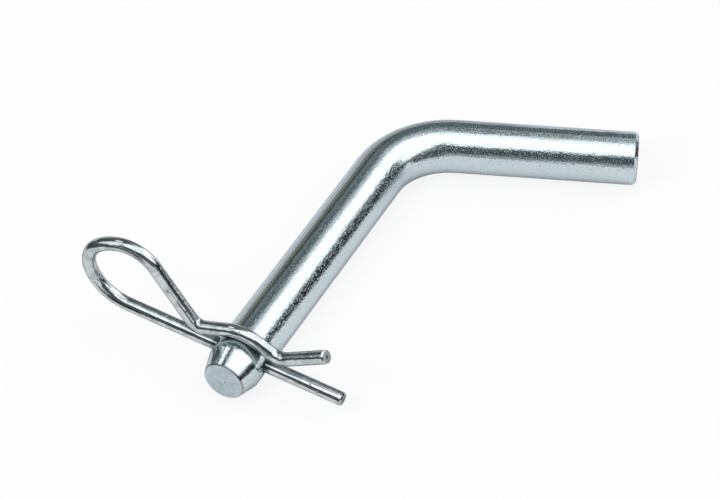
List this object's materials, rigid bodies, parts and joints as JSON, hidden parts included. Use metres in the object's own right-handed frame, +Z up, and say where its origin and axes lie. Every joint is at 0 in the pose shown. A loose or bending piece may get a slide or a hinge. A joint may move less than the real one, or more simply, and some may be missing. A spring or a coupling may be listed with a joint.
{
  "type": "bent hitch pin",
  "caption": "Round steel pin bent into a grip leg at one end, with a tapered nose, a cross hole near it and a removable spring wire clip that snaps over the shank.",
  "frame": {"origin": "middle of the nose's end face, on the shank's axis", "axes": "+Y runs along the shank from the nose towards the bend; +X is the side the grip leg turns to; +Z is up as the pin lies on its side. The shank and the grip leg both lie in the plane Z = 0"},
  "size_m": [0.1175, 0.1429, 0.0392],
  "materials": {
    "plated_bar": "bright zinc plating over smooth drawn bar, with a fine grain",
    "plated_wire": "bright smooth zinc plating over spring wire"
  },
  "bodies": {
    "root": {"bent_pin": "plated_bar", "spring_clip": "plated_wire"}
  },
  "joints": []
}
